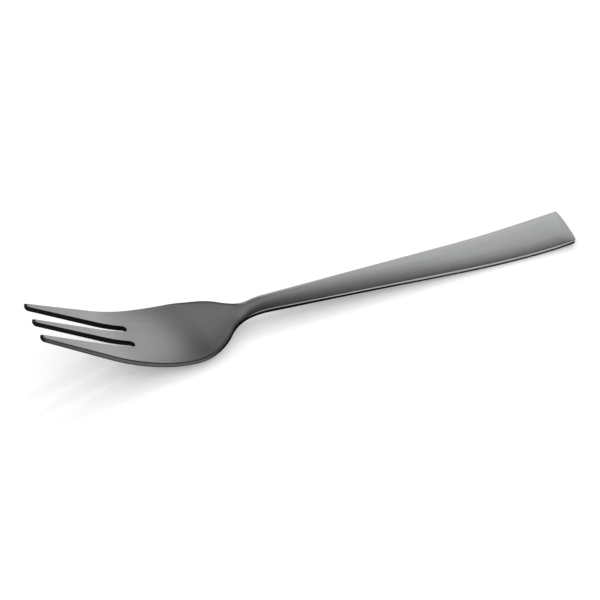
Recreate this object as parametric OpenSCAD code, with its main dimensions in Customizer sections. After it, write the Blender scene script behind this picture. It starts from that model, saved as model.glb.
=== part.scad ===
// Cake fork with three tines, pressed from one strip of steel.
// The fork lies on the table: tines towards -X, handle end towards +X, hollow side up.
// Distances along the fork are measured from the tine tips.

/* [Overall] */
// Length from the tine tips to the end of the handle
overall_length = 150; // [140:1:170]

/* [Tines] */
// Distance between neighbouring tine tips, centre to centre
tip_pitch = 6.1; // [5.6:0.1:6.6]
// Width of a tine at its rounded tip
tip_width = 1.2; // [0.8:0.1:1.6]
// Distance from the tips to the round end of a slot
slot_length = 25.9; // [22:0.1:29]
// Width of a slot at its round end
slot_root_width = 2.3; // [1.6:0.1:2.8]
// Distance from the centre line to the middle of a slot's round end
slot_root_offset = 3; // [2.6:0.1:3.4]

/* [Head outline] */
// Width across the widest part of the bowl
head_width = 22.4; // [20:0.2:25]
// Distance from the tips to the widest part of the bowl
widest_at = 39.5; // [36:0.5:43]
// Radius of the head's sides where they reach the widest part
side_radius = 80; // [60:1:110]
// Radius of the bowl's shoulders
shoulder_radius = 16.5; // [13:0.5:20]
// Radius of the hollow corners between the shoulders and the neck
heel_radius = 10; // [7:0.5:12]

/* [Neck and handle outline] */
// Width of the neck at its narrowest
neck_width = 5.2; // [4:0.1:6.5]
// Width across the end of the handle
handle_end_width = 12.3; // [9:0.1:15]
// Radius of the handle's sides where they turn parallel at its end
end_side_radius = 400; // [250:10:600]
// How far the middle of the handle's end stands out past its corners
end_bulge = 0.3; // [0.2:0.1:1.5]
// Radius of those corners
corner_radius = 0.3; // [0.2:0.1:1.2]

/* [Side profile] */
// Height of the underside over the table at the tine tips
tip_height = 20.3; // [17:0.1:24]
// Distance from the tips to the lowest point of the bowl
bowl_low_at = 44.2; // [42:0.1:46]
// Depth of the bowl: how far its middle is pressed down below its rim
dish_depth = 1.5; // [1:0.1:2.2]
// Radius of the bowl's rim, on its way up to the tines
bowl_radius = 50; // [40:1:58]
// Radius of the bowl's rim, on its way up to the neck
heel_rise_radius = 15.5; // [12:0.5:20]
// Distance from the tips to the top of the arch under the neck
arch_at = 62.2; // [61:0.1:66]
// Height of that arch over the table
arch_height = 3.9; // [3:0.1:4.6]
// Radius of that arch
arch_radius = 18; // [12:1:22]
// Distance from the end of the handle to where it rests on the table
rest_from_end = 17; // [12:1:25]
// Radius of the slight upward turn of the handle's end
end_turn_radius = 240; // [150:5:320]

/* [Sheet] */
// Thickness at the tine tips
tip_thickness = 1.45; // [1:0.05:1.8]
// Thickness at the roots of the tines
root_thickness = 1.65; // [1.4:0.05:2.2]
// Thickness at the lowest point of the bowl
bowl_thickness = 1.5; // [1.3:0.1:2]
// Thickness of the neck in its middle
neck_thickness = 3; // [2.6:0.1:3.4]
// Thickness of the grip in its middle, where the handle begins
grip_thickness = 2.8; // [2.4:0.1:3.2]
// Thickness of the handle's end in its middle
end_thickness = 2.6; // [2.2:0.1:3]
// How far the middle of the neck stands over its edges
neck_crown = 1.4; // [0.8:0.05:1.6]
// How far the middle of the grip stands over its edges
grip_crown = 1.2; // [0.6:0.05:1.4]
// How far the middle of the handle's end stands over its edges
end_crown = 1; // [0.5:0.05:1.2]
// How much of the end's crown falls only near its edges
end_flatness = 0.5; // [0:0.1:1]
// Distance from the tips to where the neck's section has become the grip's
grip_at = 88; // [80:1:100]

/* [Lower edges] */
// Width of the round along the lower edges of the head
head_round_width = 0.3; // [0.2:0.05:0.5]
// Height of that round
head_round_height = 0.4; // [0.2:0.05:0.5]
// Width of the round along the lower edges of the neck
neck_round_width = 0.7; // [0.4:0.05:1]
// Height of that round
neck_round_height = 1.7; // [1:0.05:1.9]
// Width of the round along the lower edges of the handle
handle_round_width = 0.6; // [0.3:0.05:0.8]
// Height of that round
handle_round_height = 0.8; // [0.4:0.05:1.2]

/* [Hidden] */
dark_steel = [0.40, 0.41, 0.42];

// Steps of the lofts along the fork
tip_steps = 5;
tine_steps = 9;
root_steps = 5;
bowl_steps = 12;
heel_steps = 6;
neck_steps = 12;
grip_steps = 12;
end_steps = 8;
corner_steps = 3;
// Steps across one section
tine_cuts = 4;
slot_cuts = 6;
strip_cuts = 12;
round_cuts = 3;

// First turn of a tip's rounding, which leaves a narrow flat
tip_flat_turn = 20;
// Half distance between the two heights that give the profile's slope
slope_probe = 0.05;
// Most of a tine's half width and of a wall's height that the lower rounds may take
round_width_limit = 0.7;
round_height_limit = 0.9;

// A path runs along straight lines and round arcs. Each entry is [centre x, centre y, radius]:
// the radius is positive where the centre lies above the path, negative where it lies below,
// and 0 for a plain point. A straight line touches both its neighbours.
function line_angle(from, to) =
    let (gap = [to.x - from.x, to.y - from.y])
    let (lean = (to[2] - from[2]) / norm(gap))
    atan2(gap.y, gap.x) - asin(max(min(lean, 1), -1));
function touch_x(round, angle) = round.x + round[2] * sin(angle);
function on_line(round, angle, x) =
    round.y - round[2] * cos(angle) + (x - touch_x(round, angle)) * tan(angle);
function on_arc(round, x) = round.y - sign(round[2]) * sqrt(round[2] ^ 2 - (x - round.x) ^ 2);
function path_y(path, x, i = 0) =
    let (angle = line_angle(path[i], path[i + 1]), last = i + 2 == len(path))
    x <= touch_x(path[i + 1], angle) ? on_line(path[i + 1], angle, x)
    : last || x <= touch_x(path[i + 1], line_angle(path[i + 1], path[i + 2])) ? on_arc(path[i + 1], x)
    : path_y(path, x, i + 1);

// Plan outline: half the fork's width along its length
head_half = head_width / 2;
turn_radius = shoulder_radius + heel_radius;
turn_drop = (head_width - neck_width) / 2;
neck_at = widest_at + sqrt(2 * turn_radius * turn_drop - turn_drop ^ 2);
heel_at = widest_at + (neck_at - widest_at) * shoulder_radius / turn_radius;
outline = [
    [0, tip_pitch + tip_width / 2, 0],
    [widest_at, head_half - side_radius, -side_radius],
    [widest_at, head_half - shoulder_radius, -shoulder_radius],
    [neck_at, neck_width / 2 + heel_radius, heel_radius],
    [overall_length, handle_end_width / 2 - end_side_radius, -end_side_radius]
];
function half_width(s) = path_y(outline, s);

// Side profile: height of the underside over the table, along the fork's edges
rest_at = overall_length - rest_from_end;
profile = [
    [0, tip_height, 0],
    [bowl_low_at, dish_depth + bowl_radius, bowl_radius],
    [bowl_low_at, dish_depth + heel_rise_radius, heel_rise_radius],
    [arch_at, arch_height - arch_radius, -arch_radius],
    [rest_at, end_turn_radius, end_turn_radius]
];
function edge_height(s) = path_y(profile, s);
function slope(s) = (edge_height(s + slope_probe) - edge_height(s - slope_probe)) / (2 * slope_probe);
handle_at = touch_x(profile[3], line_angle(profile[3], profile[4]));

// Ends of the slots
slot_radius = slot_root_width / 2;
root_at = slot_length - slot_radius;
middle_edge = slot_root_offset - slot_radius;
outer_edge = slot_root_offset + slot_radius;

// Sheet: thickness, dish of the bowl and crown of the handle, eased between stations
function eased(s, from, to) =
    let (t = min(max((s - from) / (to - from), 0), 1))
    t * t * (3 - 2 * t);
function thickness(s) =
    tip_thickness
    + (root_thickness - tip_thickness) * eased(s, 0, root_at)
    + (bowl_thickness - root_thickness) * eased(s, root_at, bowl_low_at)
    + (neck_thickness - bowl_thickness) * eased(s, bowl_low_at, arch_at)
    + (grip_thickness - neck_thickness) * eased(s, arch_at, grip_at)
    + (end_thickness - grip_thickness) * eased(s, grip_at, overall_length);
function dish(s) = dish_depth * (eased(s, root_at, bowl_low_at) - eased(s, bowl_low_at, arch_at));
function crown(s) =
    neck_crown * eased(s, heel_at, neck_at)
    + (grip_crown - neck_crown) * eased(s, arch_at, grip_at)
    + (end_crown - grip_crown) * eased(s, grip_at, overall_length);
function flatness(s) = end_flatness * eased(s, grip_at, overall_length);

// Share of the thickness that is left on the round nose of a tine
tip_radius = tip_width / 2;
function nose(s) = sqrt(1 - max(cos(tip_flat_turn) - s / tip_radius, 0) ^ 2);

// Points of the sheet over the plan position [s, y]
function sheet_height(s) = thickness(s) * sqrt(1 + slope(s) ^ 2);
function inner_share(s, y) = 1 - (y / half_width(s)) ^ 2;
function under_point(s, y, lift = 0) =
    let (nose_lift = sheet_height(s) * (1 - nose(s)) / 2)
    [s - overall_length / 2, y, edge_height(s) - dish(s) * inner_share(s, y) + nose_lift + lift];
function top_point(s, y) =
    let (inner = inner_share(s, y), fall = (1 - inner) * (1 - flatness(s) * inner))
    under_point(s, y, sheet_height(s) * nose(s) - crown(s) * fall);

// Rounds of the lower edges, which grow from the head to the neck and shrink along the handle
function along_fork(s, head, neck, handle) =
    head + (neck - head) * eased(s, bowl_low_at, arch_at) + (handle - neck) * eased(s, arch_at, grip_at);
function round_width(s) = along_fork(s, head_round_width, neck_round_width, handle_round_width);
function round_height(s) = along_fork(s, head_round_height, neck_round_height, handle_round_height);

// One section of the sheet, through plan positions from its left edge to its right edge:
// top, right round, underside, left round
function section(cuts) =
    let (last = len(cuts) - 1, left = cuts[0], right = cuts[last], s = left.x)
    let (middle = (left.y + right.y) / 2, half = (right.y - left.y) / 2)
    let (wall = sheet_height(s) * nose(s) - crown(s))
    let (inset = min(round_width(s), half * round_width_limit))
    let (rise = min(round_height(s), wall * round_height_limit))
    let (turns = [for (i = [0:round_cuts - 1]) 90 * i / round_cuts])
    let (across = [for (turn = turns) inset * (1 - cos(turn))])
    let (up = [for (turn = turns) rise * (1 - sin(turn))])
    concat(
        [for (cut = cuts) top_point(cut.x, cut.y)],
        [for (i = [0:round_cuts - 1]) under_point(s, right.y - across[i], up[i])],
        [for (i = [last:-1:0]) under_point(cuts[i].x, middle + (cuts[i].y - middle) * (1 - inset / half))],
        [for (i = [round_cuts - 1:-1:0]) under_point(s, left.y + across[i], up[i])]
    );

// Solid through a row of sections that all have the same number of cuts
module loft(rows) {
    cuts = len(rows[0]);
    ring = 2 * (cuts + round_cuts);
    function under(i) = 2 * cuts + round_cuts - 1 - i;
    first_cap = concat(
        [for (i = [0:cuts - 2]) [i, under(i), under(i + 1)]],
        [for (i = [0:cuts - 2]) [i, under(i + 1), i + 1]],
        [for (i = [0:round_cuts - 1]) [cuts - 1, cuts + i + 1, cuts + i]],
        [for (i = [1:round_cuts]) [0, ring - i, ring - i - 1]]
    );
    last_ring = (len(rows) - 1) * ring;
    last_cap = [for (face = first_cap) [for (i = [2:-1:0]) face[i] + last_ring]];
    skin = [
        for (j = [0:len(rows) - 2], i = [0:ring - 1], half = [0, 1])
            let (a = j * ring + i, b = j * ring + (i + 1) % ring)
            half == 0 ? [a, b, b + ring] : [a, b + ring, a + ring]
    ];
    polyhedron(
        points = [for (row = rows) each section(row)],
        faces = concat(first_cap, last_cap, skin)
    );
}

function spread(from, to, steps) = [for (i = [0:steps]) from + (to - from) * i / steps];
function rest_of(list) = [for (i = [1:len(list) - 1]) list[i]];

// Edges of the tines, from the round tips to the ends of the slots
function tine_edge(s, at_tip, at_root) = at_tip + (at_root - at_tip) * s / root_at;
function middle_side(s) = tine_edge(s, tip_radius, middle_edge);
function slot_side(s) = tine_edge(s, tip_pitch - tip_radius, outer_edge);

// Sections of a tine, as [distance from the tips, share of the width there]: round tip, then full width
tine_stations = concat(
    [
        for (turn = spread(tip_flat_turn, 90, tip_steps))
            [tip_radius * (cos(tip_flat_turn) - cos(turn)), sin(turn)]
    ],
    [for (s = rest_of(spread(tip_radius * cos(tip_flat_turn), root_at, tine_steps))) [s, 1]]
);
function tine_cut(s, left, right, share) =
    let (middle = (left + right) / 2, half = share * (right - left) / 2)
    [for (y = spread(middle - half, middle + half, tine_cuts)) [s, y]];

module outer_tine()
    loft([for (at = tine_stations) tine_cut(at[0], slot_side(at[0]), half_width(at[0]), at[1])]);

module left_tine() color(dark_steel) mirror([0, 1, 0]) outer_tine();

module middle_tine()
    color(dark_steel)
        loft([for (at = tine_stations) tine_cut(at[0], -middle_side(at[0]), middle_side(at[0]), at[1])]);

module right_tine() color(dark_steel) outer_tine();

// Cuts across the bowl, as [share of the half width, how far a slot's round end reaches in there]
function plain_cuts(from, to) = [for (y = spread(from, to, tine_cuts)) [y / half_width(root_at), 0]];
function slot_end_cuts(offset) = [
    for (turn = spread(0, 180, slot_cuts))
        if (turn > 0 && turn < 180)
            [(offset - slot_radius * cos(turn)) / half_width(root_at), slot_radius * sin(turn)]
];
bowl_cuts = concat(
    plain_cuts(-half_width(root_at), -outer_edge),
    slot_end_cuts(-slot_root_offset),
    plain_cuts(-middle_edge, middle_edge),
    slot_end_cuts(slot_root_offset),
    plain_cuts(outer_edge, half_width(root_at))
);

module bowl() {
    stations = concat(
        spread(root_at, bowl_low_at, bowl_steps),
        rest_of(spread(bowl_low_at, heel_at, heel_steps))
    );
    rows = [
        for (j = [0:len(stations) - 1])
            let (fade = max(1 - j / root_steps, 0) ^ 2)
            [for (cut = bowl_cuts) let (s = stations[j] + cut[1] * fade) [s, cut[0] * half_width(s)]]
    ];
    color(dark_steel) loft(rows);
}

// A section right across the fork, with its edges set back by the bulge of the handle's end
// and drawn in by the round of its corners
function strip_cut(s, narrowing = 0) =
    let (bulge = end_bulge * (max(s - rest_at, 0) / rest_from_end) ^ 2)
    [
        for (share = spread(-1, 1, strip_cuts))
            let (at = s - bulge * share ^ 2)
            [at, share * (half_width(at) - narrowing)]
    ];

module neck() color(dark_steel) loft([for (s = spread(heel_at, handle_at, neck_steps)) strip_cut(s)]);

module handle() {
    corner_at = overall_length - corner_radius;
    stations = concat(
        spread(handle_at, rest_at, grip_steps),
        rest_of(spread(rest_at, corner_at, end_steps))
    );
    rows = concat(
        [for (s = stations) strip_cut(s)],
        [
            for (turn = rest_of(spread(0, 90, corner_steps)))
                strip_cut(corner_at + corner_radius * sin(turn), corner_radius * (1 - cos(turn)))
        ]
    );
    color(dark_steel) loft(rows);
}

left_tine();
middle_tine();
right_tine();
bowl();
neck();
handle();
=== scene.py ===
"""Cake fork: one strip of dark steel, stamped, pressed and brushed, lying on a pale studio floor."""

from __future__ import annotations

import logging
import math
from dataclasses import dataclass, field, fields
from enum import Enum
from functools import cached_property
from typing import Callable, Union

import bpy
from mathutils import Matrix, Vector


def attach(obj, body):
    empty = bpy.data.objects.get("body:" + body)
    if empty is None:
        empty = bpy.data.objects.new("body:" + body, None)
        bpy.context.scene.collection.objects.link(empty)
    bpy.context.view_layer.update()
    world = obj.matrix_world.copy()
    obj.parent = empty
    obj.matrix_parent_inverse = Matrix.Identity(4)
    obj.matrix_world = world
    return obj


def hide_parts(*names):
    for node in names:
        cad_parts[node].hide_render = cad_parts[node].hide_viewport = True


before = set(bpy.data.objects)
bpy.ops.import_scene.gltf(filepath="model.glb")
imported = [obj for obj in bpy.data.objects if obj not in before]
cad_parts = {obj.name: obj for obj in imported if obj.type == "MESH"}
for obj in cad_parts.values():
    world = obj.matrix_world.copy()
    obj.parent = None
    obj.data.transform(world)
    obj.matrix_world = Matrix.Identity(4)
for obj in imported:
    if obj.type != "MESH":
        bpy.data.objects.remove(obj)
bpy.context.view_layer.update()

LOG = logging.getLogger("cake_fork")
MM = 0.001
TINY = 1e-9
WHITE = (1.0, 1.0, 1.0, 1.0)

Plan = tuple[float, float]
Number = Union["Field", float]


@dataclass(frozen=True)
class Field:
    """A number inside a node tree. Arithmetic on it adds Math nodes to that tree."""

    tree: bpy.types.NodeTree
    socket: bpy.types.NodeSocket

    def __add__(self, other: Number) -> Field:
        """This number plus another."""
        return node_math("ADD", self, other)

    def __radd__(self, other: float) -> Field:
        """A plain number plus this one."""
        return node_math("ADD", other, self)

    def __sub__(self, other: Number) -> Field:
        """This number less another."""
        return node_math("SUBTRACT", self, other)

    def __rsub__(self, other: float) -> Field:
        """A plain number less this one."""
        return node_math("SUBTRACT", other, self)

    def __mul__(self, other: Number) -> Field:
        """This number times another."""
        return node_math("MULTIPLY", self, other)

    def __rmul__(self, other: float) -> Field:
        """A plain number times this one."""
        return node_math("MULTIPLY", other, self)

    def __truediv__(self, other: Number) -> Field:
        """This number divided by another."""
        return node_math("DIVIDE", self, other)

    def eased(self, start: Number, end: Number) -> Field:
        """A smooth step of this number.

        Args:
            start: where the step leaves 0.
            end: where the step reaches 1.

        Returns:
            The step, from 0 to 1.
        """
        node = self.tree.nodes.new("ShaderNodeMapRange")
        node.interpolation_type = "SMOOTHSTEP"
        for name, value in (("Value", self), ("From Min", start), ("From Max", end)):
            feed(self.tree, node.inputs[name], value)
        return Field(self.tree, node.outputs["Result"])


def feed(tree: bpy.types.NodeTree, socket: bpy.types.NodeSocket, value: Number) -> None:
    """Links a field to a socket, or sets the socket to a plain number.

    Args:
        tree: the tree that holds the socket.
        socket: the input to fill.
        value: the field or number.
    """
    if isinstance(value, Field):
        tree.links.new(value.socket, socket)
    else:
        socket.default_value = value


def node_math(operation: str, *values: Number) -> Field:
    """One Math node.

    Args:
        operation: the node's operation.
        values: its inputs, at least one of them a field.

    Returns:
        The node's result.
    """
    tree = next(value.tree for value in values if isinstance(value, Field))
    node = tree.nodes.new("ShaderNodeMath")
    node.operation = operation
    for socket, value in zip(node.inputs, values):
        feed(tree, socket, value)
    return Field(tree, node.outputs[0])


PLAIN_RULES: dict[str, Callable[..., float]] = {
    "SINE": math.sin,
    "COSINE": math.cos,
    "TANGENT": math.tan,
    "ARCSINE": math.asin,
    "ARCTAN2": math.atan2,
    "MINIMUM": min,
    "MAXIMUM": max,
    "SQRT": lambda value: math.sqrt(max(value, 0.0)),
}


def rule(operation: str, *values: Number) -> Number:
    """A function of plain numbers, or of fields as a Math node.

    Args:
        operation: the Math node's name for the function.
        values: the function's inputs.

    Returns:
        A plain number if every input is one, and otherwise a field.
    """
    if any(isinstance(value, Field) for value in values):
        return node_math(operation, *values)
    return PLAIN_RULES[operation](*values)


def choose(value: Number, limit: Number, below: Number, above: Number) -> Number:
    """Picks one of two numbers by where a value lies.

    Args:
        value: the value to test.
        limit: the value's limit.
        below: the result up to the limit.
        above: the result past it.

    Returns:
        The number that was picked.
    """
    if not isinstance(value, Field):
        return below if value <= limit else above
    node = value.tree.nodes.new("GeometryNodeSwitch")
    node.input_type = "FLOAT"
    past = node_math("GREATER_THAN", value, limit)
    for name, number in (("Switch", past), ("False", below), ("True", above)):
        feed(value.tree, node.inputs[name], number)
    return Field(value.tree, node.outputs["Output"])


@dataclass(frozen=True)
class Round:
    """An arc of a path by its centre and radius. A radius of 0 makes it a point.

    side is 1 where the centre lies above the path, and -1 where it lies below.
    """

    x: Number
    y: Number
    radius: Number = 0.0
    side: int = 1

    def reach(self) -> Number:
        """The radius, with the sign of the centre's side."""
        return self.radius * self.side

    def touch(self, angle: Number) -> Number:
        """Where along x a line at an angle touches the arc."""
        return self.x + self.reach() * rule("SINE", angle)

    def line(self, angle: Number, x: Number) -> Number:
        """Height at x of the line at an angle that touches the arc."""
        foot = self.y - self.reach() * rule("COSINE", angle)
        return foot + (x - self.touch(angle)) * rule("TANGENT", angle)

    def arc(self, x: Number) -> tuple[Number, Number]:
        """Height and slope of the arc.

        Args:
            x: where along the path.

        Returns:
            The height and the slope there.
        """
        gap = x - self.x
        rise = rule("MAXIMUM", rule("SQRT", self.radius * self.radius - gap * gap), TINY)
        return self.y - rise * self.side, gap * self.side / rise


@dataclass(frozen=True)
class LinesAndArcs:
    """A path along arcs and the straight lines that touch each two neighbours."""

    rounds: tuple[Round, ...]

    @cached_property
    def angles(self) -> list[Number]:
        """The lines from each arc to the next.

        Returns:
            Their angles, in radians.
        """
        angles = []
        for first, second in zip(self.rounds, self.rounds[1:]):
            across, up = second.x - first.x, second.y - first.y
            lean = (second.reach() - first.reach()) / rule("SQRT", across * across + up * up)
            lean = rule("MAXIMUM", rule("MINIMUM", lean, 1.0), -1.0)
            angles.append(rule("ARCTAN2", up, across) - rule("ARCSINE", lean))
        return angles

    def at(self, x: Number) -> tuple[Number, Number]:
        """Height and slope of the path.

        Args:
            x: where along the path.

        Returns:
            The height and the slope there.
        """
        last = len(self.rounds) - 1
        height, slope = self.rounds[last].arc(x)
        for i in range(last, 0, -1):
            here = self.rounds[i]
            if i < last:
                arc_end = here.touch(self.angles[i])
                arc_height, arc_slope = here.arc(x)
                height = choose(x, arc_end, arc_height, height)
                slope = choose(x, arc_end, arc_slope, slope)
            angle = self.angles[i - 1]
            line_end = here.touch(angle)
            height = choose(x, line_end, here.line(angle, x), height)
            slope = choose(x, line_end, rule("TANGENT", angle), slope)
        return height, slope


def spread(start: float, end: float, steps: int) -> list[float]:
    """Evenly spaced numbers, both ends included."""
    return [start + (end - start) * i / steps for i in range(steps + 1)]


@dataclass(frozen=True)
class Along:
    """A value that eases from stop to stop along the fork.

    Each stop is a distance from the tips and the value there.
    """

    stops: tuple[Plan, ...]

    def __call__(self, s: float) -> float:
        """The value at one place.

        Args:
            s: distance from the tips.

        Returns:
            The value there. It stays the same before the first stop and past the last.
        """
        value = self.stops[0][1]
        for (start, low), (end, high) in zip(self.stops, self.stops[1:]):
            t = min(max((s - start) / (end - start), 0.0), 1.0)
            value += (high - low) * t * t * (3 - 2 * t)
        return value


def flush(s: float) -> float:
    """The margin of a line that lies on the outline itself, wherever along the fork."""
    return 0.0


class Tine(Enum):
    """The three tines, by the side of the centre line that they lie on."""

    LEFT = -1
    MIDDLE = 0
    RIGHT = 1


@dataclass
class Blank:
    """The flat blank: the fork's outline with its slots, seen from above.

    Distances along the fork are measured from the tine tips.
    """

    overall_length: float = 150 * MM
    tip_pitch: float = 6.1 * MM
    tip_width: float = 1.2 * MM
    slot_length: float = 25.9 * MM
    slot_root_width: float = 2.0 * MM
    slot_root_offset: float = 3.0 * MM
    head_width: float = 22.4 * MM
    widest_at: float = 39.5 * MM
    side_radius: float = 80 * MM
    shoulder_radius: float = 16.8 * MM
    heel_radius: float = 9 * MM
    neck_width: float = 5.2 * MM
    handle_end_width: float = 12.3 * MM
    end_side_radius: float = 400 * MM
    end_bulge: float = 0.3 * MM
    corner_radius: float = 0.3 * MM
    rest_from_end: float = 17 * MM
    tip_flat_turn: float = math.radians(12)
    slot_fade: float = 7.5 * MM
    tine_columns: int = 8
    slot_columns: int = 10
    tip_rows: int = 8
    tine_rows: int = 44
    bowl_rows: int = 60
    neck_rows: int = 30
    grip_rows: int = 80
    end_rows: int = 24
    corner_rows: int = 6

    def __post_init__(self) -> None:
        """Works out the outline's arcs and the places that follow from the sizes."""
        head_half, neck_half, end_half = self.head_width / 2, self.neck_width / 2, self.handle_end_width / 2
        turn, drop = self.shoulder_radius + self.heel_radius, head_half - neck_half
        self.neck_at = self.widest_at + math.sqrt(2 * turn * drop - drop * drop)
        self.heel_at = self.widest_at + (self.neck_at - self.widest_at) * self.shoulder_radius / turn
        self.tip_radius = self.tip_width / 2
        self.slot_radius = self.slot_root_width / 2
        self.root_at = self.slot_length - self.slot_radius
        self.rest_at = self.overall_length - self.rest_from_end
        self.outline = LinesAndArcs((
            Round(0.0, self.tip_pitch + self.tip_radius),
            Round(self.widest_at, head_half - self.side_radius, self.side_radius, -1),
            Round(self.widest_at, head_half - self.shoulder_radius, self.shoulder_radius, -1),
            Round(self.neck_at, neck_half + self.heel_radius, self.heel_radius),
            Round(self.overall_length, end_half - self.end_side_radius, self.end_side_radius, -1),
        ))
        self.widths: dict[float, float] = {}
        self.root_half = self.half_width(self.root_at)

    def half_width(self, s: float) -> float:
        """Half the fork's width.

        Args:
            s: distance from the tips.

        Returns:
            Half the width there, which is kept for the next time.
        """
        if s not in self.widths:
            self.widths[s] = self.outline.at(s)[0]
        return self.widths[s]

    def root_row(self, margin: float) -> list[Plan]:
        """The row across the ends of the slots, with its edges moved into the steel.

        Args:
            margin: how far the edges move in.

        Returns:
            Pairs of the share of the half width and how far a slot's round end reaches in there.
        """
        radius = self.slot_radius + margin
        half = self.root_half - margin
        slot = self.slot_root_offset
        inner, outer = slot - radius, slot + radius
        turns = spread(0.0, math.pi, self.slot_columns)[1:-1]
        rounds = {
            side: [(side * slot - radius * math.cos(turn), radius * math.sin(turn)) for turn in turns]
            for side in (-1, 1)
        }
        row = [(y, 0.0) for y in spread(-half, -outer, self.tine_columns)]
        row += rounds[-1]
        row += [(y, 0.0) for y in spread(-inner, inner, self.tine_columns)]
        row += rounds[1]
        row += [(y, 0.0) for y in spread(outer, half, self.tine_columns)]
        return [(y / half, reach) for y, reach in row]

    def body_stations(self) -> list[Plan]:
        """Rows of the bowl, neck and handle.

        Returns:
            Pairs of the distance from the tips and how far the round corners narrow the half width.
        """
        corner_at = self.overall_length - self.corner_radius
        places = spread(self.root_at, self.heel_at, self.bowl_rows)
        places += spread(self.heel_at, self.neck_at + self.heel_radius, self.neck_rows)[1:]
        places += spread(self.neck_at + self.heel_radius, self.rest_at, self.grip_rows)[1:]
        places += spread(self.rest_at, corner_at, self.end_rows)[1:]
        corners = [
            (corner_at + self.corner_radius * math.sin(turn), self.corner_radius * (1 - math.cos(turn)))
            for turn in spread(0.0, math.pi / 2, self.corner_rows)[1:]
        ]
        return [(s, 0.0) for s in places] + corners

    def body_row(self, station: Plan, cuts: list[Plan], margin: float) -> list[Plan]:
        """One row across the bowl, the neck or the handle.

        Args:
            station: the row's distance from the tips and its narrowing.
            cuts: the row across the ends of the slots, with its edges moved in alike.
            margin: how far the edges move in.

        Returns:
            The row's points, from left to right.
        """
        s, narrowing = station
        fade = max(1 - (s - self.root_at) / self.slot_fade, 0.0) ** 2
        past_rest = max(s - self.rest_at, 0.0) / self.rest_from_end
        row = []
        for share, reach in cuts:
            at = s + reach * fade - margin * past_rest - self.end_bulge * (past_rest * share) ** 2
            row.append((at, share * (self.half_width(at) - narrowing - margin)))
        return row

    def tine_row(self, tine: Tine, s: float, share: float, margin: float) -> list[Plan]:
        """One row across a tine.

        Args:
            tine: which tine.
            s: the row's distance from the tips.
            share: share of the tine's width, under 1 on its round tip.
            margin: how far the edges move in.

        Returns:
            The row's points, from left to right.
        """
        along = s / self.root_at
        slot_inner = self.tip_radius + (self.slot_root_offset - self.slot_radius - self.tip_radius) * along
        tip_outer = self.tip_pitch - self.tip_radius
        slot_outer = tip_outer + (self.slot_root_offset + self.slot_radius - tip_outer) * along
        low, high = (-slot_inner, slot_inner) if tine is Tine.MIDDLE else (slot_outer, self.half_width(s))
        middle, half = (low + high) / 2, ((high - low) / 2 - margin) * share
        if tine is Tine.LEFT:
            middle = -middle
        return [(s, y) for y in spread(middle - half, middle + half, self.tine_columns)]

    def tine_stations(self, margin: float) -> list[Plan]:
        """Rows of a tine, from its round tip to its root.

        Args:
            margin: how far the edges move in at the tip.

        Returns:
            Pairs of the distance from the tips and the share of the tine's width.
        """
        first = self.tip_radius * math.cos(self.tip_flat_turn)
        turns = spread(self.tip_flat_turn, math.pi / 2, self.tip_rows)
        tip = [(first - (self.tip_radius - margin) * math.cos(turn), math.sin(turn)) for turn in turns]
        return tip + [(s, 1.0) for s in spread(first, self.root_at, self.tine_rows)[1:-1]]

    def rows(self, margin: Callable[[float], float]) -> tuple[list[list[Plan]], list[list[list[Plan]]]]:
        """All rows of the blank, with its edges moved into the steel.

        Args:
            margin: how far the edges move in, by the distance from the tips.

        Returns:
            The rows of the body, and the rows of each tine up to its root.
        """
        body = [
            self.body_row(station, self.root_row(margin(station[0])), margin(station[0]))
            for station in self.body_stations()
        ]
        tip_margin = margin(0.0)
        tines = [
            [self.tine_row(tine, s, share, margin(s)) for s, share in self.tine_stations(tip_margin)]
            for tine in Tine
        ]
        return body, tines

    def points(self, margin: Callable[[float], float]) -> list[Plan]:
        """All points of the blank, in the order that faces() counts them."""
        body, tines = self.rows(margin)
        return [point for row in body + [row for tine in tines for row in tine] for point in row]

    def faces(self) -> list[tuple[int, int, int, int]]:
        """Four-sided faces of the blank, seen from above.

        Returns:
            The indices of each face's points.
        """
        body, tines = self.rows(flush)
        width = len(body[0])
        lines = [[j * width + i for i in range(width)] for j in range(len(body))]
        strips = [lines]
        count = len(body) * width
        for order, tine in enumerate(tines):
            start = order * (self.tine_columns + self.slot_columns)
            strip = []
            for row in tine:
                strip.append([count + i for i in range(len(row))])
                count += len(row)
            strips.append(strip + [lines[0][start:start + self.tine_columns + 1]])
        return [
            (near[i], far[i], far[i + 1], near[i + 1])
            for strip in strips
            for near, far in zip(strip, strip[1:])
            for i in range(len(near) - 1)
        ]


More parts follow.
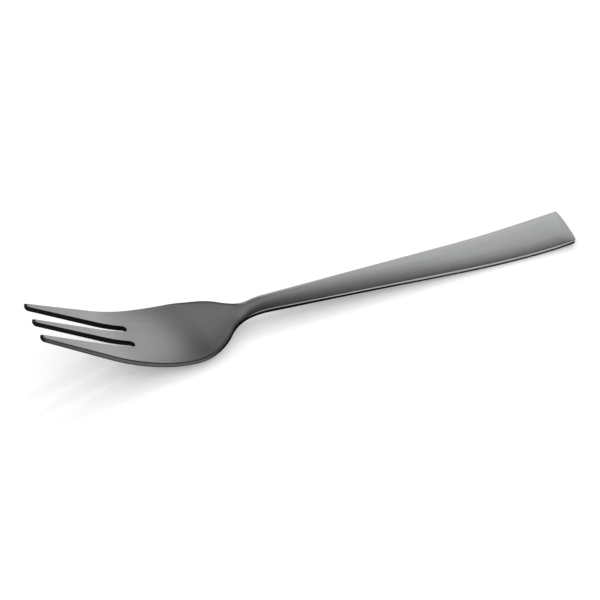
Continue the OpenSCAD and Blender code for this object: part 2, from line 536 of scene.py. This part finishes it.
@dataclass
class Edge:
    """The edge all round the blank: a small round above, a rim, a wall and a larger round below.

    A polish of 0 is the dark coating and 1 is brushed steel. The polish also holds painted light: the
    handle's wall is painted brighter still, a painted reflection of the pale floor, and the heel's wall and
    the lower round are painted dark, painted shade of the floor's shadow that they face.
    """

    top_width: Along = Along((
        (36 * MM, 0.12 * MM), (50 * MM, 1.30 * MM), (62 * MM, 1.00 * MM), (84 * MM, 0.40 * MM),
    ))
    top_drop: Along = Along(((40 * MM, 0.12 * MM), (50 * MM, 0.18 * MM), (60 * MM, 0.03 * MM)))
    rim_drop: Along = Along((
        (1 * MM, 0.14 * MM), (5 * MM, 0.36 * MM), (50 * MM, 0.36 * MM), (60 * MM, 0.05 * MM),
    ))
    under_height: Along = Along((
        (44.2 * MM, 0.45 * MM), (62.2 * MM, 1.36 * MM), (88 * MM, 1.20 * MM),
        (112 * MM, 0.88 * MM), (143 * MM, 0.88 * MM), (150 * MM, 1.20 * MM),
    ))
    under_width: Along = Along((
        (44.2 * MM, 0.30 * MM), (62.2 * MM, 0.40 * MM), (88 * MM, 0.60 * MM),
        (112 * MM, 0.40 * MM), (143 * MM, 0.40 * MM), (150 * MM, 0.50 * MM),
    ))
    top_polish: Along = Along(((0.4 * MM, 0.0), (1.2 * MM, 1.0)))
    rim_polish: Along = Along((
        (2 * MM, 0.06), (40 * MM, 0.06), (48 * MM, 0.30), (58 * MM, 0.30), (70 * MM, 0.80),
    ))
    # Painted light in the wall's polish: past 1 on the handle's wall it is a painted reflection of the pale
    # floor, and near 0 on the heel's wall it is painted shade of the floor's shadow.
    wall_polish_and_painted_light: Along = Along((
        (0.5 * MM, 0.0), (2 * MM, 0.20), (20 * MM, 0.32), (42 * MM, 0.32), (48 * MM, 0.03),
        (57 * MM, 0.03), (60 * MM, 1.40), (88 * MM, 1.40), (105 * MM, 1.15),
    ))
    # Painted shade: the lower round is kept near 0, darkest under the neck and handle, standing in for the
    # shadowed floor it faces.
    round_polish_and_painted_shade: Along = Along((
        (0.5 * MM, 0.0), (2 * MM, 0.08), (42 * MM, 0.08),
        (48 * MM, 0.01), (88 * MM, 0.01), (112 * MM, 0.06),
    ))
    support: float = 0.14 * MM
    wall_foot: float = 0.02 * MM
    top_steps: int = 5
    under_steps: int = 4
    nose_length: float = 0.90 * MM
    nose_flat: float = 0.06 * MM

    def nose(self, s: float) -> float:
        """Share of the thickness that is left on the round nose of a tine."""
        gone = max(1 - (s + self.nose_flat) / self.nose_length, 0.0)
        return math.sqrt(1 - gone * gone)


@dataclass(frozen=True)
class Ring:
    """One line round the edge of the steel.

    margin is how far it lies inside the outline. share is 1 at the top and 0 at the underside, and offset
    is its height from there. slot_polish is its polish inside a slot, and lane its place across the grain.
    """

    margin: Callable[[float], float]
    share: float
    offset: Callable[[float], float]
    polish: Callable[[float], float]
    slot_polish: float
    lane: float


@dataclass(frozen=True)
class Place:
    """One point of the flat sheet: where it lies, and how the press and the finish treat it."""

    s: float
    y: float
    share: float
    offset: float
    polish: float


@dataclass
class Sheet:
    """The blank given two sides and an edge, still flat, ready for the press.

    A lane is a place across the grain. The edge's lanes lie clear of those of the two sides.
    """

    blank: Blank = field(default_factory=Blank)
    edge: Edge = field(default_factory=Edge)
    under_polish: float = 0.75
    edge_lane: float = 30 * MM
    top_lane: float = 1 * MM
    rim_lane: float = 1.05 * MM
    wall_lane: float = 1.10 * MM
    foot_lane: float = 1.2 * MM
    round_lane: float = 1.3 * MM
    turn_lane: float = 1 * MM

    def top_ring(self, turn: float) -> Ring:
        """A line on the small round above.

        Args:
            turn: how far round it lies, in radians, from 0 at the top to a quarter turn at the rim.

        Returns:
            The ring, which is brushed in a slot only where it meets the top.
        """
        edge = self.edge
        inset, drop = 1 - math.sin(turn), 1 - math.cos(turn)

        def polish(s: float) -> float:
            """A polish between the rim's and the top's."""
            return edge.rim_polish(s) + (edge.top_polish(s) - edge.rim_polish(s)) * inset

        return Ring(
            lambda s: edge.top_width(s) * inset, 1.0, lambda s: -edge.top_drop(s) * drop,
            polish, 1.0 if turn < TINY else 0.0, drop * self.top_lane,
        )

    def under_ring(self, turn: float) -> Ring:
        """A line on the larger round below.

        Args:
            turn: how far round it lies, in radians, from 0 at the wall to a quarter turn at the underside.

        Returns:
            The ring.
        """
        edge = self.edge
        inset, rest = 1 - math.cos(turn), 1 - math.sin(turn)
        return Ring(
            lambda s: edge.under_width(s) * inset, 0.0, lambda s: edge.under_height(s) * rest,
            edge.round_polish_and_painted_shade, 0.0, self.round_lane + turn * self.turn_lane,
        )

    def rings(self) -> list[Ring]:
        """The lines round the edge.

        Returns:
            The rings, from the top down.
        """
        edge = self.edge
        quarter = math.pi / 2
        rings = [self.top_ring(turn) for turn in spread(0.0, quarter, edge.top_steps)]
        rings.append(Ring(flush, 1.0, lambda s: -edge.rim_drop(s), edge.rim_polish, 0.0, self.rim_lane))
        rings.append(Ring(
            flush, 1.0, lambda s: -edge.rim_drop(s) - edge.wall_foot,
            edge.wall_polish_and_painted_light, 0.0, self.wall_lane,
        ))
        rings.append(Ring(
            flush, 0.0, lambda s: edge.under_height(s) + edge.wall_foot,
            edge.wall_polish_and_painted_light, 0.0, self.foot_lane,
        ))
        return rings + [self.under_ring(turn) for turn in spread(0.0, quarter, edge.under_steps)]

    def on_ring(self, ring: Ring, spot: Plan) -> Place:
        """A point of the edge.

        Args:
            ring: the line that it lies on.
            spot: its distance from the tips and its place across.

        Returns:
            The point, with the polish of a slot if it lies in one.
        """
        s, y = spot
        blank = self.blank
        in_slot = s < blank.slot_length + TINY and abs(y) < blank.half_width(s) - blank.tip_radius
        return Place(s, y, ring.share, ring.offset(s), ring.slot_polish if in_slot else ring.polish(s))

    def make(self) -> bpy.types.Object:
        """The flat sheet as one closed mesh.

        Returns:
            The sheet's object, with the attributes that the press and the finish read.
        """
        blank, edge = self.blank, self.edge
        faces = blank.faces()
        loop = self.loop(faces)
        top = blank.points(lambda s: edge.top_width(s) + edge.support)
        under = blank.points(lambda s: edge.under_width(s) + edge.support)
        size = len(top)
        places = [Place(s, y, 1.0, 0.0, edge.top_polish(s)) for s, y in top]
        places += [Place(s, y, 0.0, 0.0, self.under_polish) for s, y in under]
        lines, lanes = [loop], [0.0]
        for ring in self.rings():
            plan = blank.points(ring.margin)
            lines.append([len(places) + i for i in range(len(loop))])
            lanes.append(ring.lane)
            places += [self.on_ring(ring, plan[i]) for i in loop]
        lines.append([size + i for i in loop])
        lanes.append(lanes[-1] + edge.support)
        walls = [
            (low[k], low[(k + 1) % len(loop)], high[(k + 1) % len(loop)], high[k])
            for high, low in zip(lines, lines[1:])
            for k in range(len(loop))
        ]
        sides = faces + [tuple(size + i for i in reversed(face)) for face in faces]
        mesh = bpy.data.meshes.new("flat_sheet")
        middle = blank.overall_length / 2
        points = [(place.s - middle, place.y, place.offset * edge.nose(place.s)) for place in places]
        mesh.from_pydata(points, [], sides + walls)
        self.note(mesh, "share", [0.5 + (place.share - 0.5) * edge.nose(place.s) for place in places])
        self.note(mesh, "across", [place.y / blank.half_width(place.s) for place in places])
        # The polish also carries painted light: a painted reflection, brighter than the steel, on the
        # handle's wall, and painted shade near 0 on the heel's wall and the lower rounds.
        self.note(mesh, "polish", [place.polish for place in places])
        across = [places[i].y for face in sides for i in face]
        for high, low in zip(lanes, lanes[1:]):
            across += [self.edge_lane + lane for lane in (low, low, high, high)] * len(loop)
        corners = [places[i].s for face in sides + walls for i in face]
        grain = mesh.uv_layers.new(name="grain")
        grain.uv.foreach_set("vector", [value for pair in zip(corners, across) for value in pair])
        mesh.shade_smooth()
        sheet = bpy.data.objects.new("flat_sheet", mesh)
        bpy.context.scene.collection.objects.link(sheet)
        return sheet

    @staticmethod
    def loop(faces: list[tuple[int, int, int, int]]) -> list[int]:
        """The blank's rim.

        Args:
            faces: the blank's faces.

        Returns:
            The indices of the points round the rim, in order.
        """
        edges = {(a, b) for face in faces for a, b in zip(face, face[1:] + face[:1])}
        after = {a: b for a, b in edges if (b, a) not in edges}
        start = min(after)
        loop = [start]
        while after[loop[-1]] != start:
            loop.append(after[loop[-1]])
        return loop

    @staticmethod
    def note(mesh: bpy.types.Mesh, name: str, values: list[float]) -> None:
        """Writes one number for each point of a mesh as an attribute."""
        mesh.attributes.new(name, "FLOAT", "POINT").data.foreach_set("value", values)


@dataclass
class Press:
    """The press: gives the flat sheet its side profile, thickness, dish and crown.

    Every field is a named input of the Geometry Nodes tree.
    """

    overall_length: float
    root_at: float
    heel_at: float
    neck_at: float
    rest_at: float
    tip_height: float = 20.3 * MM
    bowl_low_at: float = 44.2 * MM
    dish_depth: float = 1.5 * MM
    bowl_radius: float = 50 * MM
    heel_rise_radius: float = 15.5 * MM
    arch_at: float = 62.2 * MM
    arch_height: float = 3.9 * MM
    arch_radius: float = 18 * MM
    end_turn_radius: float = 240 * MM
    tip_thickness: float = 1.45 * MM
    root_thickness: float = 1.65 * MM
    bowl_thickness: float = 1.5 * MM
    neck_thickness: float = 3 * MM
    grip_thickness: float = 2.8 * MM
    end_thickness: float = 2.6 * MM
    neck_crown: float = 1.4 * MM
    grip_crown: float = 1.2 * MM
    end_crown: float = 1 * MM
    end_flatness: float = 0.5
    grip_at: float = 88 * MM
    end_fall_at: float = 146 * MM

    def tree(self, finish: bpy.types.Material) -> bpy.types.NodeTree:
        """The press as a node tree.

        Args:
            finish: the material of the pressed steel.

        Returns:
            The tree, with one named input for each size.
        """
        tree = bpy.data.node_groups.new("press", "GeometryNodeTree")
        tree.interface.new_socket("Sheet", in_out="INPUT", socket_type="NodeSocketGeometry")
        for size in fields(self):
            tree.interface.new_socket(size.name, in_out="INPUT", socket_type="NodeSocketFloat")
        tree.interface.new_socket("Fork", in_out="OUTPUT", socket_type="NodeSocketGeometry")
        entry, leave = tree.nodes.new("NodeGroupInput"), tree.nodes.new("NodeGroupOutput")
        sizes = {size.name: Field(tree, entry.outputs[size.name]) for size in fields(self)}

        place = tree.nodes.new("ShaderNodeSeparateXYZ")
        tree.links.new(tree.nodes.new("GeometryNodeInputPosition").outputs[0], place.inputs[0])
        x, y, offset = (Field(tree, output) for output in place.outputs)
        s = x + sizes["overall_length"] * 0.5
        height = self.height(sizes, s, self.named(tree, "across"), self.named(tree, "share"))
        pressed = tree.nodes.new("ShaderNodeCombineXYZ")
        for socket, value in zip(pressed.inputs, (x, y, height + offset)):
            feed(tree, socket, value)

        move = tree.nodes.new("GeometryNodeSetPosition")
        tree.links.new(pressed.outputs[0], move.inputs["Position"])
        real = tree.nodes.new("GeometryNodeRealizeInstances")
        dress = tree.nodes.new("GeometryNodeSetMaterial")
        dress.inputs["Material"].default_value = finish
        steps = (entry.outputs["Sheet"], move, real, dress)
        source = steps[0]
        for step in steps[1:]:
            tree.links.new(source, step.inputs["Geometry"])
            source = step.outputs["Geometry"]
        tree.links.new(source, leave.inputs["Fork"])
        return tree

    @staticmethod
    def named(tree: bpy.types.NodeTree, name: str) -> Field:
        """An attribute of the sheet.

        Args:
            tree: the press's tree.
            name: the attribute's name.

        Returns:
            The attribute as a field.
        """
        node = tree.nodes.new("GeometryNodeInputNamedAttribute")
        node.data_type = "FLOAT"
        node.inputs["Name"].default_value = name
        return Field(tree, node.outputs["Attribute"])

    @staticmethod
    def height(sizes: dict[str, Field], s: Field, across: Field, share: Field) -> Field:
        """Height over the table of a point of the sheet.

        Args:
            sizes: the press's sizes.
            s: distance from the tips.
            across: place across the fork, from -1 at its left edge to 1 at its right edge.
            share: place between the underside, 0, and the top, 1.

        Returns:
            The height.
        """
        names = ("root_at", "bowl_low_at", "arch_at", "grip_at", "rest_at", "end_fall_at", "overall_length")
        root_at, low_at, arch_at, grip_at, rest_at, fall_at, end_at = (sizes[name] for name in names)
        dish, arch_radius = sizes["dish_depth"], sizes["arch_radius"]
        profile = LinesAndArcs((
            Round(0.0, sizes["tip_height"]),
            Round(low_at, dish + sizes["bowl_radius"], sizes["bowl_radius"]),
            Round(low_at, dish + sizes["heel_rise_radius"], sizes["heel_rise_radius"]),
            Round(arch_at, sizes["arch_height"] - arch_radius, arch_radius, -1),
            Round(rest_at, sizes["end_turn_radius"], sizes["end_turn_radius"]),
        ))
        edge, slope = profile.at(s)
        stops = (
            (0.0, "tip_thickness"), (root_at, "root_thickness"), (low_at, "bowl_thickness"),
            (arch_at, "neck_thickness"), (grip_at, "grip_thickness"), (end_at, "end_thickness"),
        )
        thickness = sizes[stops[0][1]]
        for (start, low), (end, high) in zip(stops, stops[1:]):
            thickness = thickness + (sizes[high] - sizes[low]) * s.eased(start, end)
        pressed = dish * (s.eased(root_at, low_at) - s.eased(low_at, arch_at))
        crowns = ("neck_crown", "grip_crown", "end_crown")
        neck_crown, grip_crown, end_crown = (sizes[name] for name in crowns)
        to_end = s.eased(grip_at, end_at)
        crown = neck_crown * s.eased(sizes["heel_at"], sizes["neck_at"])
        crown = crown + (grip_crown - neck_crown) * s.eased(arch_at, grip_at)
        crown = crown + (end_crown - grip_crown) * to_end
        inner = 1.0 - across * across
        fall = (1.0 - inner) * (1.0 - sizes["end_flatness"] * to_end * inner)
        past = rule("MAXIMUM", (s - fall_at) / (end_at - fall_at), 0.0)
        sheet = thickness * rule("SQRT", slope * slope + 1.0) - crown * (fall + past * past * inner)
        return edge - pressed * inner + sheet * share

    def form(self, sheet: bpy.types.Object, finish: bpy.types.Material) -> bpy.types.Mesh:
        """Presses a flat sheet.

        Args:
            sheet: the flat sheet, which is used up.
            finish: the material of the pressed steel.

        Returns:
            The pressed fork as a plain mesh.
        """
        tree = self.tree(finish)
        modifier = sheet.modifiers.new("press", "NODES")
        modifier.node_group = tree
        for item in tree.interface.items_tree:
            if item.name in {size.name for size in fields(self)}:
                modifier[item.identifier] = getattr(self, item.name)
        graph = bpy.context.evaluated_depsgraph_get()
        mesh = bpy.data.meshes.new_from_object(sheet.evaluated_get(graph))
        bpy.data.objects.remove(sheet)
        return mesh


@dataclass(frozen=True)
class BrushedSteel:
    """Dark steel, brushed along the fork. The slots are dark; the lower edges are painted dark as painted
    shade, and the handle's wall is painted brighter as a painted reflection.

    What is dark, the coating and the painted shade alike, doesn't brighten at a flat angle, as bare metal
    does.
    """

    steel: tuple[float, float, float] = (0.347, 0.356, 0.350)
    # dark is the coating's colour, and also the colour of the painted shade on the lower edges and the
    # heel's wall.
    dark: tuple[float, float, float] = (0.016, 0.016, 0.017)
    roughness: float = 0.422
    dark_roughness: float = 0.45
    anisotropy: float = 0.223
    quarter_turn: float = 0.25
    streak: Plan = (45 * MM, 0.9 * MM)
    line: Plan = (9 * MM, 0.16 * MM)
    streak_tint: float = 0.13
    streak_detail: float = 3.0
    line_tint: float = 0.12
    line_detail: float = 2.0
    line_roughness: float = 0.10
    line_height: float = 0.0012 * MM

    def material(self) -> bpy.types.Material:
        """The finish as a node material.

        Returns:
            The material.
        """
        material = bpy.data.materials.new("brushed_dark_steel")
        material.use_nodes = True
        tree = material.node_tree
        shader = tree.nodes["Principled BSDF"]
        shader.inputs["Metallic"].default_value = 1.0
        shader.inputs["Anisotropic"].default_value = self.anisotropy
        shader.inputs["Anisotropic Rotation"].default_value = self.quarter_turn
        streak = self.grain(tree, self.streak, self.streak_detail)
        line = self.grain(tree, self.line, self.line_detail)
        polish = tree.nodes.new("ShaderNodeAttribute")
        polish.attribute_name = "polish"
        brushed = Field(tree, polish.outputs["Fac"])

        tint = 1.0 + self.swing(streak, self.streak_tint) + self.swing(line, self.line_tint)
        # Mixes coating and steel by the polish: past 1 it runs brighter than the steel, the painted
        # reflection on the handle's wall, and near 0 it gives the painted shade of the lower edges.
        mix = tree.nodes.new("ShaderNodeMix")
        mix.data_type = "RGBA"
        mix.clamp_factor = False
        feed(tree, mix.inputs["Factor"], brushed)
        colours = {socket.identifier: socket for socket in mix.inputs}
        colours["A_Color"].default_value = (*self.dark, 1.0)
        colours["B_Color"].default_value = (*self.steel, 1.0)
        mixed = next(socket for socket in mix.outputs if socket.identifier == "Result_Color")
        scale = tree.nodes.new("ShaderNodeVectorMath")
        scale.operation = "SCALE"
        tree.links.new(mixed, scale.inputs[0])
        feed(tree, scale.inputs["Scale"], tint)
        tree.links.new(scale.outputs[0], shader.inputs["Base Color"])

        # Specular tint follows the polish, so the painted shade on the lower edges and the heel doesn't
        # brighten at a flat angle.
        feed(tree, shader.inputs["Specular Tint"], rule("MINIMUM", brushed, 1.0))
        roughness = self.dark_roughness + brushed * (self.roughness - self.dark_roughness)
        feed(tree, shader.inputs["Roughness"], roughness + self.swing(line, self.line_roughness))
        bump = tree.nodes.new("ShaderNodeBump")
        bump.inputs["Distance"].default_value = self.line_height
        feed(tree, bump.inputs["Height"], line)
        tree.links.new(bump.outputs["Normal"], shader.inputs["Normal"])
        tangent = tree.nodes.new("ShaderNodeTangent")
        tangent.direction_type = "UV_MAP"
        tangent.uv_map = "grain"
        tree.links.new(tangent.outputs["Tangent"], shader.inputs["Tangent"])
        return material

    @staticmethod
    def swing(grain: Field, most: float) -> Field:
        """How far the grain moves a value up or down, at most by the given amount."""
        return (grain - 0.5) * (2 * most)

    @staticmethod
    def grain(tree: bpy.types.NodeTree, size: Plan, detail: float) -> Field:
        """Noise drawn out along the fork.

        Args:
            tree: the material's tree.
            size: length and width of its marks.
            detail: how many finer layers it has.

        Returns:
            The noise, about 0.5.
        """
        grain = tree.nodes.new("ShaderNodeUVMap")
        grain.uv_map = "grain"
        stretch = tree.nodes.new("ShaderNodeMapping")
        stretch.inputs["Scale"].default_value = (1 / size[0], 1 / size[1], 1.0)
        noise = tree.nodes.new("ShaderNodeTexNoise")
        noise.inputs["Scale"].default_value = 1.0
        noise.inputs["Detail"].default_value = detail
        tree.links.new(grain.outputs["UV"], stretch.inputs["Vector"])
        tree.links.new(stretch.outputs["Vector"], noise.inputs["Vector"])
        return Field(tree, noise.outputs["Fac"])


@dataclass
class Fork:
    """The whole fork: one piece of steel from the tine tips to the end of the handle."""

    sheet: Sheet = field(default_factory=Sheet)
    finish: BrushedSteel = field(default_factory=BrushedSteel)

    def build(self) -> bpy.types.Object:
        """Stamps, presses and brushes the fork.

        Returns:
            The fork's object, which stands for all the CAD nodes.
        """
        blank = self.sheet.blank
        press = Press(blank.overall_length, blank.root_at, blank.heel_at, blank.neck_at, blank.rest_at)
        mesh = press.form(self.sheet.make(), self.finish.material())
        mesh.name = "cake_fork"
        fork = bpy.data.objects.new("cake_fork", mesh)
        bpy.context.scene.collection.objects.link(fork)
        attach(fork, "root")
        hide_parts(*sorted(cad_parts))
        return fork


def heading(azimuth: float, elevation: float) -> Vector:
    """A direction from the fork.

    Args:
        azimuth: degrees round from -Y, towards +X.
        elevation: degrees above the floor.

    Returns:
        The direction, of length 1.
    """
    a, e = math.radians(azimuth), math.radians(elevation)
    return Vector((math.sin(a) * math.cos(e), -math.cos(a) * math.cos(e), math.sin(e)))


@dataclass(frozen=True)
class SoftLight:
    """A square soft light that faces the fork. It lights the floor and doesn't show in the steel."""

    name: str
    azimuth: float
    elevation: float
    distance: float
    size: float
    power: float

    def place(self) -> bpy.types.Object:
        """Puts the light in the scene.

        Returns:
            The light's object.
        """
        lamp = bpy.data.lights.new(self.name, "AREA")
        lamp.size = self.size
        lamp.energy = self.power
        light = bpy.data.objects.new(self.name, lamp)
        toward = heading(self.azimuth, self.elevation)
        light.location = toward * self.distance
        light.rotation_euler = toward.to_track_quat("Z", "Y").to_euler()
        light.visible_glossy = False
        bpy.context.scene.collection.objects.link(light)
        return light


@dataclass(frozen=True)
class GlowCard:
    """An upright card of soft light beside the fork, which shows in the steel and nowhere else."""

    azimuth: float = 111.4
    distance: float = 99.8 * MM
    offset: float = 41.1 * MM
    width: float = 176.7 * MM
    height: float = 179.2 * MM
    glow: float = 1.421
    full_height: float = 0.199
    side_fade: float = 0.258

    def place(self) -> bpy.types.Object:
        """Stands the card on the floor.

        Returns:
            The card's object.
        """
        toward = heading(self.azimuth, 0.0)
        side = Vector((-toward.y, toward.x, 0.0))
        foot, along = toward * self.distance + side * self.offset, side * (self.width / 2)
        up = Vector((0.0, 0.0, self.height))
        mesh = bpy.data.meshes.new("glow_card")
        corners = [foot + along, foot - along, foot - along + up, foot + along + up]
        mesh.from_pydata(corners, [], [(0, 1, 2, 3)])
        mesh.uv_layers.new(name="card").uv.foreach_set("vector", (0, 0, 1, 0, 1, 1, 0, 1))
        mesh.materials.append(self.material())
        card = bpy.data.objects.new("glow_card", mesh)
        card.visible_camera = card.visible_diffuse = card.visible_shadow = False
        bpy.context.scene.collection.objects.link(card)
        return card

    def material(self) -> bpy.types.Material:
        """The card's glow.

        Returns:
            The material, which fades towards the card's top and its sides.
        """
        material = bpy.data.materials.new("glow")
        material.use_nodes = True
        tree = material.node_tree
        place = tree.nodes.new("ShaderNodeSeparateXYZ")
        spot = tree.nodes.new("ShaderNodeUVMap")
        spot.uv_map = "card"
        tree.links.new(spot.outputs["UV"], place.inputs[0])
        side, up = Field(tree, place.outputs["X"]), Field(tree, place.outputs["Y"])
        fade = up.eased(1.0, self.full_height) * side.eased(0.0, self.side_fade)
        fade = fade * side.eased(1.0, 1.0 - self.side_fade)
        emission = tree.nodes.new("ShaderNodeEmission")
        emission.inputs["Strength"].default_value = self.glow
        clear = tree.nodes.new("ShaderNodeBsdfTransparent")
        mix = tree.nodes.new("ShaderNodeMixShader")
        feed(tree, mix.inputs["Fac"], fade)
        tree.links.new(clear.outputs["BSDF"], mix.inputs[1])
        tree.links.new(emission.outputs["Emission"], mix.inputs[2])
        tree.links.new(mix.outputs["Shader"], tree.nodes["Material Output"].inputs["Surface"])
        return material


@dataclass(frozen=True)
class GlowPatch:
    """A round soft patch far off, which shows in the steel. Angles are in degrees.

    A patch with a glow under 0 is a dark one, which takes light away.
    """

    azimuth: float
    elevation: float
    inner: float
    outer: float
    glow: float


@dataclass
class Studio:
    """A pale floor, the soft light that shows in the steel, the lights of the floor, and the camera."""

    target: Vector = field(default_factory=lambda: Vector((-1.012, 2.510, 0.0)) * MM)
    azimuth: float = -22.57
    elevation: float = 43.25
    distance: float = 942.1 * MM
    lens: float = 216.0
    sensor: float = 36.0
    floor_half: float = 8.0
    floor_colour: tuple[float, float, float] = (0.86, 0.86, 0.86)
    floor_roughness: float = 0.9
    floor_glow: float = 0.24
    far_floor: Plan = (1.0, 3.0)
    shade: float = 0.0736
    low_azimuth: float = 200.9
    low_height: float = 11.6
    low_spread: Plan = (0.2, 0.8)
    low_glow: float = 1.55
    band_height: float = 24.0
    band_glow: float = 0.45
    backdrop: float = 1.0
    patches: tuple[GlowPatch, ...] = (
        GlowPatch(azimuth=193.5, elevation=65.4, inner=6.8, outer=54.5, glow=0.440),
        GlowPatch(azimuth=245.0, elevation=18.0, inner=6.0, outer=34.0, glow=0.40),
        GlowPatch(azimuth=55.0, elevation=8.0, inner=4.0, outer=24.0, glow=0.35),
        GlowPatch(azimuth=157.2, elevation=20.6, inner=0.0, outer=39.8, glow=-0.138),
    )
    card: GlowCard = field(default_factory=GlowCard)
    lights: tuple[SoftLight, ...] = (
        SoftLight("overhead", azimuth=150, elevation=88, distance=1.2, size=5.0, power=88.0),
        SoftLight("key", azimuth=145, elevation=53, distance=1.4, size=0.06, power=1.2),
    )

    def build(self) -> None:
        """Makes the floor, the light and the camera."""
        self.lay_floor()
        self.light()
        self.aim()

    def lay_floor(self) -> None:
        """The floor, which isn't part of the fork."""
        half = self.floor_half
        corners = [(-half, -half, 0), (half, -half, 0), (half, half, 0), (-half, half, 0)]
        mesh = bpy.data.meshes.new("floor")
        mesh.from_pydata(corners, [], [(0, 1, 2, 3)])
        mesh.materials.append(self.floor_finish())
        floor = bpy.data.objects.new("floor", mesh)
        bpy.context.scene.collection.objects.link(floor)

    def floor_finish(self) -> bpy.types.Material:
        """The floor's finish.

        Returns:
            The material, which glows more far off so that the horizon stays pale.
        """
        material = bpy.data.materials.new("pale_floor")
        material.use_nodes = True
        tree = material.node_tree
        shader = tree.nodes["Principled BSDF"]
        shader.inputs["Base Color"].default_value = (*self.floor_colour, 1.0)
        shader.inputs["Roughness"].default_value = self.floor_roughness
        shader.inputs["Specular IOR Level"].default_value = 0.0
        shader.inputs["Emission Color"].default_value = WHITE
        reach = tree.nodes.new("ShaderNodeVectorMath")
        reach.operation = "LENGTH"
        tree.links.new(tree.nodes.new("ShaderNodeTexCoord").outputs["Object"], reach.inputs[0])
        far = Field(tree, reach.outputs["Value"]).eased(*self.far_floor)
        feed(tree, shader.inputs["Emission Strength"], self.floor_glow + far * (1.0 - self.floor_glow))
        return material

    def light(self) -> None:
        """The surround and the card that show in the steel, and the lights of the floor."""
        world = bpy.data.worlds.new("studio")
        bpy.context.scene.world = world
        world.use_nodes = True
        world.cycles_visibility.diffuse = False
        tree = world.node_tree
        background = tree.nodes["Background"]
        background.inputs["Color"].default_value = WHITE
        glow = self.surround(tree)
        seen = Field(tree, tree.nodes.new("ShaderNodeLightPath").outputs["Is Camera Ray"])
        feed(tree, background.inputs["Strength"], glow + (self.backdrop - glow) * seen)
        self.card.place()
        for light in self.lights:
            light.place()

    def surround(self, tree: bpy.types.NodeTree) -> Field:
        """How brightly the far surround shows in the steel.

        Args:
            tree: the world's tree.

        Returns:
            The glow of each direction, never under 0.
        """
        glow = self.shade
        for patch in self.patches:
            outer, inner = math.cos(math.radians(patch.outer)), math.cos(math.radians(patch.inner))
            toward = self.facing(tree, heading(patch.azimuth, patch.elevation))
            glow = glow + toward.eased(outer, inner) * patch.glow
        rise = self.facing(tree, Vector((0.0, 0.0, 1.0)))
        side = self.facing(tree, heading(self.low_azimuth, 0.0)).eased(*self.low_spread)
        low = rise.eased(math.sin(math.radians(self.low_height)), 0.0) * side
        band = rise.eased(math.sin(math.radians(self.band_height)), 0.0) * (1.0 - side)
        return rule("MAXIMUM", glow + low * self.low_glow + band * self.band_glow, 0.0)

    @staticmethod
    def facing(tree: bpy.types.NodeTree, direction: Vector) -> Field:
        """How closely a ray of the world points in a direction.

        Args:
            tree: the world's tree.
            direction: the direction, of length 1.

        Returns:
            The cosine of the angle between them.
        """
        node = tree.nodes.new("ShaderNodeVectorMath")
        node.operation = "DOT_PRODUCT"
        tree.links.new(tree.nodes.new("ShaderNodeTexCoord").outputs["Generated"], node.inputs[0])
        node.inputs[1].default_value = direction
        return Field(tree, node.outputs["Value"])

    def aim(self) -> None:
        """The camera, at the photograph's angle."""
        scene = bpy.context.scene
        lens = bpy.data.cameras.new("camera")
        lens.sensor_width = self.sensor
        lens.lens = self.lens
        camera = bpy.data.objects.new("camera", lens)
        toward = heading(self.azimuth, self.elevation)
        camera.location = self.target + toward * self.distance
        camera.rotation_euler = toward.to_track_quat("Z", "Y").to_euler()
        scene.collection.objects.link(camera)
        scene.camera = camera
        scene.view_settings.view_transform = "Standard"


def main() -> None:
    logging.basicConfig(level=logging.INFO, format="%(name)s: %(message)s")
    fork = Fork().build()
    LOG.info("%s: %d faces", fork.name, len(fork.data.polygons))
    Studio().build()


if __name__ == "__main__":
    main()
